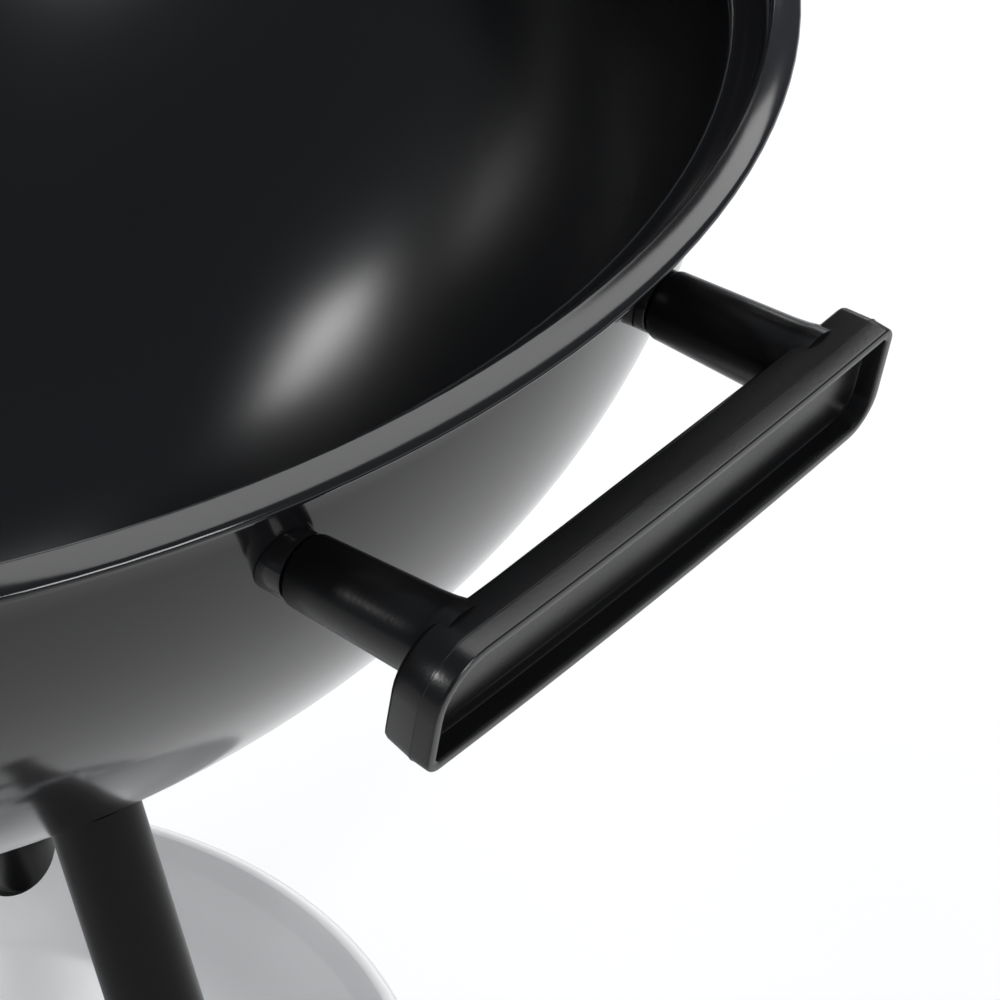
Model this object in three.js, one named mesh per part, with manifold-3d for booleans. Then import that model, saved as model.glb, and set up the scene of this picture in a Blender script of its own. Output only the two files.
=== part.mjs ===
// A 47 cm kettle charcoal grill on three splayed tube legs, in millimetres, +Z up.
// The bowl's axis is worked in first at x = y = 0 with the floor at z = 0; at the end the
// whole grill is shifted so that the origin is the middle of its footprint on the floor.
import * as THREE from "three";
import { mergeVertices } from "three/addons/utils/BufferGeometryUtils.js";
import Module from "manifold-3d";

const wasm = await Module();
wasm.setup();

// ---- driving dimensions -------------------------------------------------------------
const GAP = 0.3; // between pieces that touch
const RIM_Z = 690; // top of the bowl's lip above the floor
const STEEL = 2; // wall of the bowl and the lid

const LIP_R = 235; // outside of the rolled lip
const BAND_IN_R = 226.5; // inside of the rolled lip
const LEDGE_Z = RIM_Z - 6; // inner step that the lid sits on

const BOWL_WALL_R = 219;
const BOWL_KNUCKLE_R = 140;
const BOWL_KNUCKLE_DEG = 35;

const LID_WALL_R = 223;
const LID_KNUCKLE_R = 130;
const LID_KNUCKLE_DEG = 40;
const LID_BASE_Z = RIM_Z + 4; // centre height of the lid's knuckle when it is shut
const LID_OPEN_DEG = 100;

const LEG_SPLAY_DEG = 14.6;
const LEG_TUBE_R = 11;
const LEG_BORE_R = 9.9;
const LEG_TOP = { r: 90.7, z: RIM_Z - 178.4 };
const SOCKET_R = 9.5;
const FOOT_R = 13.5;

const AXLE_R = 4;
const WHEEL_R = 75;
const WHEEL_Y = 206; // middle of the tread
const TREAD_W = 28;

const POST_Y = 55;
// in a handle's frame x runs out from the bowl's axis and z up from its lip
const POST_BASE = { x: 213.5, z: -28 };
const POST_DROP_DEG = 4;
const POST_LENGTH = 34;
const GRIP_FACE = { x: 256.6, z: -36.3 };
const GRIP_TILT_DEG = 12.2;
const GRIP_HALF_L = 70;
const GRIP_HALF_H = 12.85;
const GRIP_DEPTH = 11.5;
const GRIP_RIM = 2.3;
const TROUGH_DEPTH = 4.3;

const HINGE = { y: 254, z: RIM_Z + 8 };
const PIN_R = 4;

const PAN_RIM_R = 142;
const PAN_FLOOR_R = 105;
const PAN_RIM_Z = RIM_Z - 340;
const PAN_DEPTH = 22;

const RACK_Z = 150;
const RACK_R = 150;
const WIRE_R = 2.5;

const COOKING_R = 206; // centre line of the cooking grate's rim wire
const COOKING_WIRE_R = 3.5;
const COALS_R = 157;
const COALS_WIRE_R = 4;

const VENT_R = 30; // vent holes' distance from the damper's pivot
const VENT_HOLE_R = 12;
const DAMPER_R = 47;
const RIVET_R = 3;

// ---- geometry helpers -----------------------------------------------------------------
const rad = THREE.MathUtils.degToRad;

// Welds a geometry's vertices, drops triangles with no area and turns its faces outwards.
function closed(geometry) {
  const g = geometry.clone();
  g.deleteAttribute("normal");
  g.deleteAttribute("uv");
  const welded = mergeVertices(g, 1e-3);
  const p = welded.attributes.position;
  const index = Array.from(welded.index.array);
  const kept = [];
  let volume = 0;
  const [a, b, c] = [new THREE.Vector3(), new THREE.Vector3(), new THREE.Vector3()];
  for (let i = 0; i < index.length; i += 3) {
    const [i0, i1, i2] = index.slice(i, i + 3);
    if (i0 === i1 || i1 === i2 || i2 === i0) continue;
    a.fromBufferAttribute(p, i0);
    b.fromBufferAttribute(p, i1);
    c.fromBufferAttribute(p, i2);
    volume += a.dot(b.cross(c));
    kept.push(i0, i1, i2);
  }
  if (volume < 0) {
    for (let i = 0; i < kept.length; i += 3) {
      [kept[i + 1], kept[i + 2]] = [kept[i + 2], kept[i + 1]];
    }
  }
  welded.setIndex(kept);
  return welded;
}

function solid(geometry) {
  const g = closed(geometry);
  const mesh = new wasm.Mesh({
    numProp: 3,
    vertProperties: new Float32Array(g.attributes.position.array),
    triVerts: new Uint32Array(g.index.array),
  });
  return new wasm.Manifold(mesh);
}

function fromSolid(manifold) {
  const mesh = manifold.getMesh();
  const g = new THREE.BufferGeometry();
  g.setAttribute("position", new THREE.BufferAttribute(new Float32Array(mesh.vertProperties), 3));
  g.setIndex(Array.from(mesh.triVerts));
  return g;
}

const join = (...geometries) => fromSolid(geometries.map(solid).reduce((a, b) => a.add(b)));
const cut = (geometry, ...tools) =>
  fromSolid(tools.map(solid).reduce((a, b) => a.subtract(b), solid(geometry)));
const common = (a, b) => fromSolid(solid(a).intersect(solid(b)));

// A shape turned about the Z axis from [radius, height] points.
function turned(points, segments = 36) {
  const g = new THREE.LatheGeometry(points.map(([r, z]) => new THREE.Vector2(r, z)), segments);
  return closed(g.rotateX(Math.PI / 2));
}

// A round rod between two points, with its own radius at each end.
function rod(from, to, r0, r1 = r0, sides = 12) {
  const a = new THREE.Vector3(...from);
  const b = new THREE.Vector3(...to);
  const g = new THREE.CylinderGeometry(r1, r0, a.distanceTo(b), sides);
  const turn = new THREE.Quaternion().setFromUnitVectors(
    new THREE.Vector3(0, 1, 0),
    b.clone().sub(a).normalize(),
  );
  g.applyQuaternion(turn);
  return g.translate(...a.add(b).multiplyScalar(0.5).toArray());
}

function block([x0, y0, z0], [x1, y1, z1]) {
  return new THREE.BoxGeometry(x1 - x0, y1 - y0, z1 - z0).translate(
    (x0 + x1) / 2,
    (y0 + y1) / 2,
    (z0 + z1) / 2,
  );
}

// A plate with its outline in the YZ plane, between two x values.
function platePiece(outline, x0, x1) {
  const shape = new THREE.Shape(outline.map(([y, z]) => new THREE.Vector2(y, z)));
  const g = new THREE.ExtrudeGeometry(shape, { depth: x1 - x0, bevelEnabled: false });
  const place = new THREE.Matrix4().makeBasis(
    new THREE.Vector3(0, 1, 0),
    new THREE.Vector3(0, 0, 1),
    new THREE.Vector3(1, 0, 0),
  );
  return g.applyMatrix4(place.setPosition(x0, 0, 0));
}

const aboutZ = (geometry, degrees) => geometry.clone().rotateZ(rad(degrees));

// ---- the node list ----------------------------------------------------------------------
const grill = new THREE.Group();

const FINISHES = {
  enamel: { color: 0x0b0b0c, roughness: 0.12, metalness: 0 },
  powder: { color: 0x161617, roughness: 0.42, metalness: 0.1 },
  plastic: { color: 0x121213, roughness: 0.35, metalness: 0 },
  rubber: { color: 0x1b1b1b, roughness: 0.8, metalness: 0 },
  aluminium: { color: 0xd2d3d4, roughness: 0.3, metalness: 0.9 },
  zinc: { color: 0xb6b9bc, roughness: 0.35, metalness: 0.9 },
  chrome: { color: 0xdadcde, roughness: 0.15, metalness: 1 },
};

function part(name, geometry, finish, group = grill) {
  const mesh = new THREE.Mesh(geometry, new THREE.MeshStandardMaterial(FINISHES[finish]));
  mesh.name = name;
  group.add(mesh);
  return mesh;
}

// ---- dished shells: a straight knuckle arc that runs into a crown arc on the axis ---------
// CROWN_DEG are the latitudes of the crown's rings, counted from the axis: closer near the pole,
// where the damper and its rivet sit.
const KNUCKLE_STEPS = 4;
const CROWN_DEG = [40, 26, 12, 4, 0];
function dish(wallR, knuckleR, knuckleDeg) {
  const arm = wallR - knuckleR;
  const turnOver = rad(knuckleDeg);
  const crownR = knuckleR + arm / Math.cos(turnOver);
  const crownDrop = arm * Math.tan(turnOver); // the crown's centre is on the far side of the knuckle's
  // [radius, depth] of the skin moved outwards by offset, from startDeg to the pole
  const skin = (offset, startDeg) => {
    const points = [];
    for (let i = 0; i <= KNUCKLE_STEPS; i += 1) {
      const t = rad(startDeg) + ((turnOver - rad(startDeg)) * i) / KNUCKLE_STEPS;
      points.push([arm + (knuckleR + offset) * Math.cos(t), (knuckleR + offset) * Math.sin(t)]);
    }
    CROWN_DEG.forEach((degrees) => {
      const t = rad(degrees);
      points.push([(crownR + offset) * Math.sin(t), (crownR + offset) * Math.cos(t) - crownDrop]);
    });
    return points;
  };
  return { skin, crownR, crownDrop, depth: crownR - crownDrop };
}

const bowlDish = dish(BOWL_WALL_R, BOWL_KNUCKLE_R, BOWL_KNUCKLE_DEG);
const lidDish = dish(LID_WALL_R, LID_KNUCKLE_R, LID_KNUCKLE_DEG);
const down = ([r, depth]) => [r, RIM_Z - depth];
const up = ([r, height]) => [r, LID_BASE_Z + height];
const SKIN_START_DEG = 6; // where the bowl's wall runs out into its lip

// Solids a hair larger than the bowl and the lid, which shape the pieces fitted against them.
const bowlForm = turned([
  [0, RIM_Z],
  [BOWL_WALL_R + GAP, RIM_Z],
  ...bowlDish.skin(GAP, SKIN_START_DEG).map(down),
]);
const lidForm = turned([
  [0, LID_BASE_Z - 30],
  [LID_WALL_R + GAP, LID_BASE_Z - 30],
  ...lidDish.skin(GAP, 0).map(up),
]);

// ---- bowl -------------------------------------------------------------------------------
const spots = (r, degrees) => degrees.map((d) => [r * Math.cos(rad(d)), r * Math.sin(rad(d))]);
const VENT_DEGREES = [30, 150, 270];
const bottomZ = RIM_Z - bowlDish.depth;

function ventTools(centre, holeDegrees) {
  return spots(VENT_R, holeDegrees).map(([x, y]) =>
    rod([x, y, centre - 30], [x, y, centre + 30], VENT_HOLE_R, VENT_HOLE_R, 10),
  );
}

// the axis of a handle's post and the screw in it, from inside the bowl to the grip
const postAxis = (side, along) => [
  POST_BASE.x + along * Math.cos(rad(POST_DROP_DEG)),
  side * POST_Y,
  POST_BASE.z - along * Math.sin(rad(POST_DROP_DEG)),
];
const onBowl = (geometry, turn) => geometry.clone().rotateZ(rad(turn)).translate(0, 0, RIM_Z);
const SCREW_R = 3;
const screwHole = (side) => rod(postAxis(side, -16), postAxis(side, 6), SCREW_R + 0.5, SCREW_R + 0.5, 8);
const HANDLE_TURNS = { right: 0, left: 180 };
const BOLT_HOLE_R = 2.6;
const BOLTS_X = [-9, 9];
const BOWL_BOLT_Z = RIM_Z - 31;
const boltHoles = (z) => BOLTS_X.map((x) => rod([x, 205, z], [x, 240, z], BOLT_HOLE_R, BOLT_HOLE_R, 8));

const lip = [
  [LIP_R - 1.6, RIM_Z - 0.3],
  [LIP_R, RIM_Z - 2.2],
  [LIP_R - 0.8, RIM_Z - 4],
  [LIP_R - 3.3, RIM_Z - 4.4],
  [LIP_R - 4.6, RIM_Z - 2.8],
  [BAND_IN_R + 2.2, RIM_Z - 3.2],
  [BAND_IN_R + 1.2, LEDGE_Z - STEEL],
  [BOWL_WALL_R + 1, LEDGE_Z - STEEL - 0.6],
];
const bowlBlank = turned([
  [BAND_IN_R, RIM_Z - 0.6],
  [BAND_IN_R + 4, RIM_Z + 1],
  ...lip,
  ...bowlDish.skin(0, SKIN_START_DEG).map(down),
  ...bowlDish.skin(-STEEL, SKIN_START_DEG).map(down).reverse(),
  [BOWL_WALL_R - STEEL + 0.4, LEDGE_Z - 3],
  [BOWL_WALL_R + 1, LEDGE_Z],
  [BAND_IN_R - 0.9, LEDGE_Z],
  [BAND_IN_R, RIM_Z - 0.6],
]);
const bowlHoles = [
  ...ventTools(bottomZ, VENT_DEGREES),
  rod([0, 0, bottomZ - 9], [0, 0, bottomZ + 9], RIVET_R + 0.5, RIVET_R + 0.5, 8),
  ...Object.values(HANDLE_TURNS).flatMap((turn) => [-1, 1].map((side) => onBowl(screwHole(side), turn))),
  ...boltHoles(BOWL_BOLT_Z),
];
part("bowl", cut(bowlBlank, ...bowlHoles), "enamel");

// three tabs inside the bowl carry the cooking grate
const TAB_Z = RIM_Z - 34;
const TAB_IN_R = 198;
const TAB_HALF_W = 9;
const TAB_WEB = 14; // depth of the web under a tab's shelf
const bowlInside = turned([
  [0, RIM_Z],
  [BOWL_WALL_R - STEEL - GAP, RIM_Z],
  ...bowlDish.skin(-STEEL - GAP, SKIN_START_DEG).map(down),
]);
[-60, 60, 180].forEach((degrees, i) => {
  const shelf = block([TAB_IN_R, -TAB_HALF_W, TAB_Z - STEEL], [BOWL_WALL_R + 3, TAB_HALF_W, TAB_Z]);
  const web = block([TAB_IN_R + 7, -STEEL / 2, TAB_Z - TAB_WEB], [BOWL_WALL_R + 3, STEEL / 2, TAB_Z]);
  part(`grate_tab_${i + 1}`, common(aboutZ(join(shelf, web), degrees), bowlInside), "enamel");
});

// ---- bottom damper ----------------------------------------------------------------------
function domePatch(crownR, from, to, radius) {
  const points = [];
  const steps = 3;
  const half = Math.asin(radius / crownR);
  for (let i = 0; i <= steps; i += 1) {
    const t = (half * i) / steps;
    points.push([i === 0 ? 0 : (crownR + from) * Math.sin(t), (crownR + from) * Math.cos(t)]);
  }
  for (let i = steps; i >= 0; i -= 1) {
    const t = (half * i) / steps;
    points.push([i === 0 ? 0 : (crownR + to) * Math.sin(t), (crownR + to) * Math.cos(t)]);
  }
  return turned(points, 24);
}

// crown arcs are faceted, so a damper stands a little off the skin
const DAMPER_LIFT = 0.9;
const DAMPER_T = 1.5;

function damperDisc(crownR, holeDegrees) {
  const disc = domePatch(crownR, DAMPER_LIFT, DAMPER_LIFT + DAMPER_T, DAMPER_R);
  const pivot = rod([0, 0, crownR - 9], [0, 0, crownR + 9], RIVET_R + 0.5);
  return cut(disc, ...ventTools(crownR, holeDegrees), pivot);
}

function rivet(inner, outer, headR) {
  return join(
    rod([0, 0, inner], [0, 0, outer], RIVET_R),
    turned([[0, outer], [headR, outer], [headR * 0.8, outer + 1.6], [0, outer + 2.4]], 12),
    turned([[0, inner], [headR, inner], [headR * 0.8, inner - 1.6], [0, inner - 2.4]], 12),
  );
}

const DAMPER_LEVER_DEG = 150;
const hang = (geometry) => geometry.clone().rotateX(Math.PI).translate(0, 0, RIM_Z + bowlDish.crownDrop);
const leverAt = (r, drop) => [r, 0, Math.sqrt((bowlDish.crownR + drop) ** 2 - r ** 2)];
const lever = join(
  rod(leverAt(42, 3), leverAt(74, 7), 2.2, 2.2, 8),
  rod(leverAt(74, 7), leverAt(84, 19), 2.2, 2.2, 8),
  new THREE.SphereGeometry(2.2, 8, 6).translate(...leverAt(74, 7)),
  rod(leverAt(83.5, 18.4), leverAt(92, 29), 4.5, 4, 12),
);
// turning the disc over mirrors its holes, so they are drawn mirrored to meet the bowl's
const bottomDamper = join(
  damperDisc(bowlDish.crownR, VENT_DEGREES.map((d) => -d)),
  aboutZ(lever, -DAMPER_LEVER_DEG),
);
part("bottom_damper", hang(bottomDamper), "aluminium");
const bowlCrown = bowlDish.crownR;
part(
  "bottom_damper_rivet",
  hang(rivet(bowlCrown - STEEL - GAP, bowlCrown + DAMPER_LIFT + DAMPER_T + GAP, 6.5)),
  "zinc",
);

// ---- legs -------------------------------------------------------------------------------
const slope = Math.tan(rad(LEG_SPLAY_DEG));
const legRadiusAt = (z) => LEG_TOP.r + (LEG_TOP.z - z) * slope;
const legPoint = (z) => [legRadiusAt(z), 0, z];
const SOCKET_IN_LEG = 28;
const FOOT_Z = 9;
const WHEEL_LEG_END_Z = 62;
const LEGS = [
  { name: "front", degrees: 0, end: FOOT_Z },
  { name: "left", degrees: 120, end: WHEEL_LEG_END_Z },
  { name: "right", degrees: 240, end: WHEEL_LEG_END_Z },
];
const BOLT_Z = LEG_TOP.z - 14;
const axleX = legRadiusAt(WHEEL_R) * Math.cos(rad(120));

// the screw that pins a leg to its socket comes in square to the leg, on its inner side
const boltAlong = (out) => {
  const [x, , z] = legPoint(BOLT_Z);
  return [x + out * Math.cos(rad(LEG_SPLAY_DEG)), 0, z + out * Math.sin(rad(LEG_SPLAY_DEG))];
};

LEGS.forEach(({ name, degrees, end }) => {
  const boltHole = rod(boltAlong(-14), boltAlong(0), 2.8, 2.8, 8);
  const socketFoot = legPoint(LEG_TOP.z - SOCKET_IN_LEG);
  const socketBlank = rod(socketFoot, legPoint(LEG_TOP.z + 40), SOCKET_R, SOCKET_R, 16);
  part(`leg_socket_${name}`, cut(aboutZ(cut(socketBlank, boltHole), degrees), bowlForm), "powder");

  const tube = rod(legPoint(end), legPoint(LEG_TOP.z), LEG_TUBE_R, LEG_TUBE_R, 20);
  const bore = rod(legPoint(end - 20), legPoint(LEG_TOP.z + 20), LEG_BORE_R, LEG_BORE_R, 16);
  let leg = aboutZ(cut(tube, bore, boltHole), degrees);
  if (end !== FOOT_Z) {
    leg = cut(leg, rod([axleX, -300, WHEEL_R], [axleX, 300, WHEEL_R], AXLE_R + 0.4));
  }
  part(`leg_${name}`, leg, "powder");

  const bolt = join(
    rod(boltAlong(-LEG_TUBE_R - GAP - 3), boltAlong(-LEG_TUBE_R - GAP), 5, 5, 6),
    rod(boltAlong(-LEG_TUBE_R - 2), boltAlong(-2), 2.3, 2.3, 12),
  );
  part(`leg_bolt_${name}`, aboutZ(bolt, degrees), "zinc");
});

// front foot: a plastic cup over the tube's end, cut flat where it stands
const footTop = 34;
const footCup = cut(
  rod(legPoint(-14), legPoint(footTop), FOOT_R, FOOT_R - 0.8, 20),
  rod(legPoint(FOOT_Z - GAP), legPoint(footTop + 9), LEG_TUBE_R + GAP, LEG_TUBE_R + GAP, 20),
);
part("foot_cap", cut(footCup, block([0, -60, -60], [400, 60, 0])), "plastic");

// ---- axle and wheels --------------------------------------------------------------------
const AXLE_END_Y = 227;
part("axle", rod([axleX, -AXLE_END_Y, WHEEL_R], [axleX, AXLE_END_Y, WHEEL_R], AXLE_R, AXLE_R, 12), "zinc");

const HUB_IN_Y = 192.4;
const HUB_OUT_Y = 222;
const RIM_R = 65;
const WEB_HALF = 4;
function wheelRim() {
  const half = TREAD_W / 2 - 2;
  const rim = turned([
    [AXLE_R + 0.6, HUB_IN_Y - WHEEL_Y],
    [13, HUB_IN_Y - WHEEL_Y],
    [14, -WEB_HALF],
    [RIM_R - 7, -WEB_HALF],
    [RIM_R - 5, -half],
    [RIM_R, -half],
    [RIM_R, half],
    [RIM_R - 5, half],
    [RIM_R - 7, WEB_HALF],
    [15, WEB_HALF],
    [14, HUB_OUT_Y - WHEEL_Y],
    [AXLE_R + 0.6, HUB_OUT_Y - WHEEL_Y],
    [AXLE_R + 0.6, HUB_IN_Y - WHEEL_Y],
  ], 24);
  const windows = spots(38, [0, 72, 144, 216, 288]).map(([x, y]) =>
    rod([x, y, -20], [x, y, 20], 14, 14, 8),
  );
  return cut(rim, ...windows);
}

// The tread is a polygon that stands on one of its flats, WHEEL_R below the axle.
const TYRE_SIDES = 24;
function tyreRing() {
  const half = TREAD_W / 2;
  const tread = WHEEL_R / Math.cos(Math.PI / TYRE_SIDES);
  const treadRing = turned([
    [RIM_R + 1, -half],
    [tread - 2.5, -half],
    [tread, -half + 3.5],
    [tread, half - 3.5],
    [tread - 2.5, half],
    [RIM_R + 1, half],
    [RIM_R + 1, -half],
  ], TYRE_SIDES);
  return treadRing.rotateZ(Math.PI / TYRE_SIDES);
}

const AXLE_CAP = [[0, 0], [7, 0], [8.5, 1], [8.5, 4], [6, 6.4], [0, 7]];
[["left", 1], ["right", -1]].forEach(([name, side]) => {
  // the lathe's +Z is the wheel's outer side
  const place = (g) => g.rotateX(-side * Math.PI / 2).translate(axleX, side * WHEEL_Y, WHEEL_R);
  part(`wheel_${name}`, place(wheelRim()), "plastic");
  part(`tyre_${name}`, place(tyreRing()), "rubber");
  const cap = turned(AXLE_CAP, 14).translate(0, 0, HUB_OUT_Y - WHEEL_Y + GAP);
  const bore = rod([0, 0, 0], [0, 0, AXLE_END_Y - WHEEL_Y + GAP], AXLE_R + 0.4, AXLE_R + 0.4, 12);
  part(`axle_cap_${name}`, place(cut(cap, bore)), "plastic");
});

// ---- ash pan and its clips --------------------------------------------------------------
const panFloorZ = PAN_RIM_Z - PAN_DEPTH;
const PAN_T = 1.5;
const panBlank = turned([
  [0, panFloorZ],
  [PAN_FLOOR_R, panFloorZ],
  [PAN_RIM_R - 6, PAN_RIM_Z - 4],
  [PAN_RIM_R - 1, PAN_RIM_Z - 3.4],
  [PAN_RIM_R, PAN_RIM_Z - 1.6],
  [PAN_RIM_R - 1, PAN_RIM_Z],
  [PAN_RIM_R - 4, PAN_RIM_Z],
  [PAN_RIM_R - 6.6, PAN_RIM_Z - 2],
  [PAN_FLOOR_R - 0.8, panFloorZ + PAN_T],
  [0, panFloorZ + PAN_T],
], 36);
// each leg passes through a notch that is open at the rim and leaves room to lift the pan
const NOTCH_R = LEG_TUBE_R + 1.6;
const PAN_LIFT = 20;
function notchTool(degrees) {
  const inner = legRadiusAt(PAN_RIM_Z + PAN_LIFT);
  const end = rod([inner, 0, panFloorZ - 9], [inner, 0, PAN_RIM_Z + 9], NOTCH_R, NOTCH_R, 16);
  const mouth = block([inner, -NOTCH_R, panFloorZ - 9], [PAN_RIM_R + 20, NOTCH_R, PAN_RIM_Z + 9]);
  return aboutZ(join(end, mouth), degrees);
}
part("ash_pan", cut(panBlank, ...LEGS.map(({ degrees }) => notchTool(degrees))), "aluminium");

const CLIP_T = 2.5;
LEGS.forEach(({ name, degrees }) => {
  const top = panFloorZ - GAP;
  const shelf = block([94, -7, top - CLIP_T], [legRadiusAt(top), 7, top]);
  const collar = common(
    rod(legPoint(top - 14), legPoint(top), LEG_TUBE_R + 2.6, LEG_TUBE_R + 2.6, 16),
    block([100, -9, top - 30], [legRadiusAt(top) + 2, 9, top]),
  );
  const legTool = rod(legPoint(top - 60), legPoint(top + 60), LEG_TUBE_R + GAP, LEG_TUBE_R + GAP, 20);
  part(`pan_clip_${name}`, aboutZ(cut(join(shelf, collar), legTool), degrees), "zinc");
});

// ---- bottom rack: a wire ring, bars and three arms that end at the legs ------------------
function ring(radius, wireR, segments, sides = 6) {
  return new THREE.TorusGeometry(radius, wireR, sides, segments);
}

function bars(radius, wireR, pitch, count, sides = 4) {
  const half = (count - 1) / 2;
  return Array.from({ length: count }, (_, i) => {
    const y = (i - half) * pitch;
    const reach = Math.sqrt(radius ** 2 - y ** 2);
    return rod([-reach, y, 0], [reach, y, 0], wireR, wireR, sides);
  });
}

const crossBar = (radius, x, wireR, drop) => {
  const reach = Math.sqrt(radius ** 2 - x ** 2);
  return rod([x, -reach, drop], [x, reach, drop], wireR, wireR, 4);
};

const legInnerR = legRadiusAt(RACK_Z + WIRE_R) - LEG_TUBE_R / Math.cos(rad(LEG_SPLAY_DEG));
const rackArms = LEGS.map(({ degrees }) =>
  aboutZ(rod([RACK_R, 0, 0], [legInnerR - GAP, 0, 0], WIRE_R), degrees),
);
const rack = join(ring(RACK_R, WIRE_R, 30), ...bars(RACK_R, 1.8, 34, 8), ...rackArms);
part("bottom_rack", rack.translate(0, 0, RACK_Z), "chrome");

// the charcoal grate is kept on the rack while the bowl is empty
const coals = join(
  ring(COALS_R, COALS_WIRE_R, 30),
  ...bars(COALS_R, 3, 26, 11),
  crossBar(COALS_R, -80, 3, -3),
  crossBar(COALS_R, 80, 3, -3),
);
const COALS_Z = RACK_Z + WIRE_R + COALS_WIRE_R + 2.5;
part("charcoal_grate", coals.translate(0, 0, COALS_Z), "chrome");

// ---- handles ----------------------------------------------------------------------------
// Grip outline in its own plane: one end has a soft upper corner, the rest are tight.
function gripOutline(inset) {
  const l = GRIP_HALF_L - inset;
  const h = GRIP_HALF_H - inset;
  const corners = [
    { x: -l, y: h, r: 12 },
    { x: -l, y: -h, r: 4 },
    { x: l, y: -h, r: 8 },
    { x: l, y: h, r: 4 },
  ];
  const shape = new THREE.Shape();
  corners.forEach(({ x, y, r }, i) => {
    const radius = Math.max(r - inset, 1);
    const cx = x - Math.sign(x) * radius;
    const cy = y - Math.sign(y) * radius;
    const start = Math.PI / 2 + (i * Math.PI) / 2;
    if (i === 0) shape.moveTo(cx, y);
    shape.absarc(cx, cy, radius, start, start + Math.PI / 2, false);
  });
  shape.closePath();
  return shape;
}

const gripFrame = new THREE.Matrix4()
  .makeBasis(
    new THREE.Vector3(0, 1, 0),
    new THREE.Vector3(Math.sin(rad(GRIP_TILT_DEG)), 0, Math.cos(rad(GRIP_TILT_DEG))),
    new THREE.Vector3(Math.cos(rad(GRIP_TILT_DEG)), 0, -Math.sin(rad(GRIP_TILT_DEG))),
  )
  .setPosition(GRIP_FACE.x, 0, GRIP_FACE.z);

// a slab of the grip's outline, between two depths behind its front face
function gripSlab(inset, front, back) {
  const g = new THREE.ExtrudeGeometry(gripOutline(inset), {
    depth: back - front,
    bevelEnabled: false,
    curveSegments: 3,
  });
  return g.translate(0, 0, -back).applyMatrix4(gripFrame);
}

function handleShape() {
  const posts = [-1, 1].flatMap((side) => [
    rod(postAxis(side, 0.8), postAxis(side, POST_LENGTH + 4), 7.3, 8.6, 14),
    rod(postAxis(side, 0), postAxis(side, 0.8), 6.4, 7.3, 14),
  ]);
  const body = join(gripSlab(0, 0, GRIP_DEPTH), ...posts);
  const boreR = SCREW_R + 0.4;
  const bores = [-1, 1].map((side) => rod(postAxis(side, -3), postAxis(side, 16), boreR, boreR, 8));
  return cut(body, gripSlab(GRIP_RIM, -5, TROUGH_DEPTH), ...bores);
}

const handleBody = handleShape();
const washerBlank = (side, length) => cut(
  rod(postAxis(side, -length), postAxis(side, -GAP), 6.9, 6.9, 12),
  rod(postAxis(side, -length - 3), postAxis(side, 3), SCREW_R + 0.4, SCREW_R + 0.4, 8),
);
const screwShape = (side, head) => join(
  rod(postAxis(side, head), postAxis(side, 14), SCREW_R, SCREW_R, 8),
  rod(postAxis(side, head - 3), postAxis(side, head), 5.6, 5.6, 12),
);
const SCREW_HEAD = -10.6; // under-side of the head, inside the wall
Object.entries(HANDLE_TURNS).forEach(([name, turn]) => {
  part(`handle_${name}`, onBowl(handleBody, turn), "plastic");
  [["a", -1], ["b", 1]].forEach(([end, side]) => {
    part(`handle_washer_${name}_${end}`, cut(onBowl(washerBlank(side, 14), turn), bowlForm), "enamel");
    part(`handle_screw_${name}_${end}`, onBowl(screwShape(side, SCREW_HEAD), turn), "zinc");
  });
});

// ---- grate hook: a strip clipped over the left handle's grip ------------------------------
const HOOK_HALF_W = 11;
const HOOK_T = 2;
const HOOK_DROP = 40; // from the grip's top edge to the cradle
const CRADLE_R = COOKING_WIRE_R + 1;
function hookStrip() {
  // outline in the grip's frame: x = height up the grip, y = distance out from its face
  const top = GRIP_HALF_H + GAP;
  const back = -GRIP_DEPTH - GAP;
  const low = top - HOOK_DROP;
  const outline = new THREE.Shape();
  outline.moveTo(top + HOOK_T, HOOK_T + GAP);
  outline.lineTo(top + HOOK_T, back - HOOK_T);
  outline.lineTo(top - 9, back - HOOK_T);
  outline.lineTo(top - 9, back);
  outline.lineTo(top, back);
  outline.lineTo(top, GAP);
  outline.lineTo(low, GAP);
  const cradleY = GAP + HOOK_T + CRADLE_R;
  outline.absarc(low, cradleY, HOOK_T + CRADLE_R, -Math.PI / 2, -Math.PI * 1.5, true);
  outline.lineTo(low + 7, GAP + 2 * HOOK_T + 2 * CRADLE_R);
  outline.lineTo(low + 7, GAP + HOOK_T + 2 * CRADLE_R);
  outline.lineTo(low, GAP + HOOK_T + 2 * CRADLE_R);
  outline.absarc(low, cradleY, CRADLE_R, -Math.PI * 1.5, -Math.PI / 2, false);
  outline.closePath();
  const width = { depth: 2 * HOOK_HALF_W, bevelEnabled: false, curveSegments: 6 };
  const g = new THREE.ExtrudeGeometry(outline, width);
  // outline x -> grip up, outline y -> grip out, depth -> grip length
  const turn = new THREE.Matrix4().makeBasis(
    new THREE.Vector3(0, 1, 0),
    new THREE.Vector3(0, 0, 1),
    new THREE.Vector3(1, 0, 0),
  );
  return g.translate(0, 0, -HOOK_HALF_W).applyMatrix4(turn).applyMatrix4(gripFrame);
}
part("grate_hook", onBowl(closed(hookStrip()), HANDLE_TURNS.left), "chrome");

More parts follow.
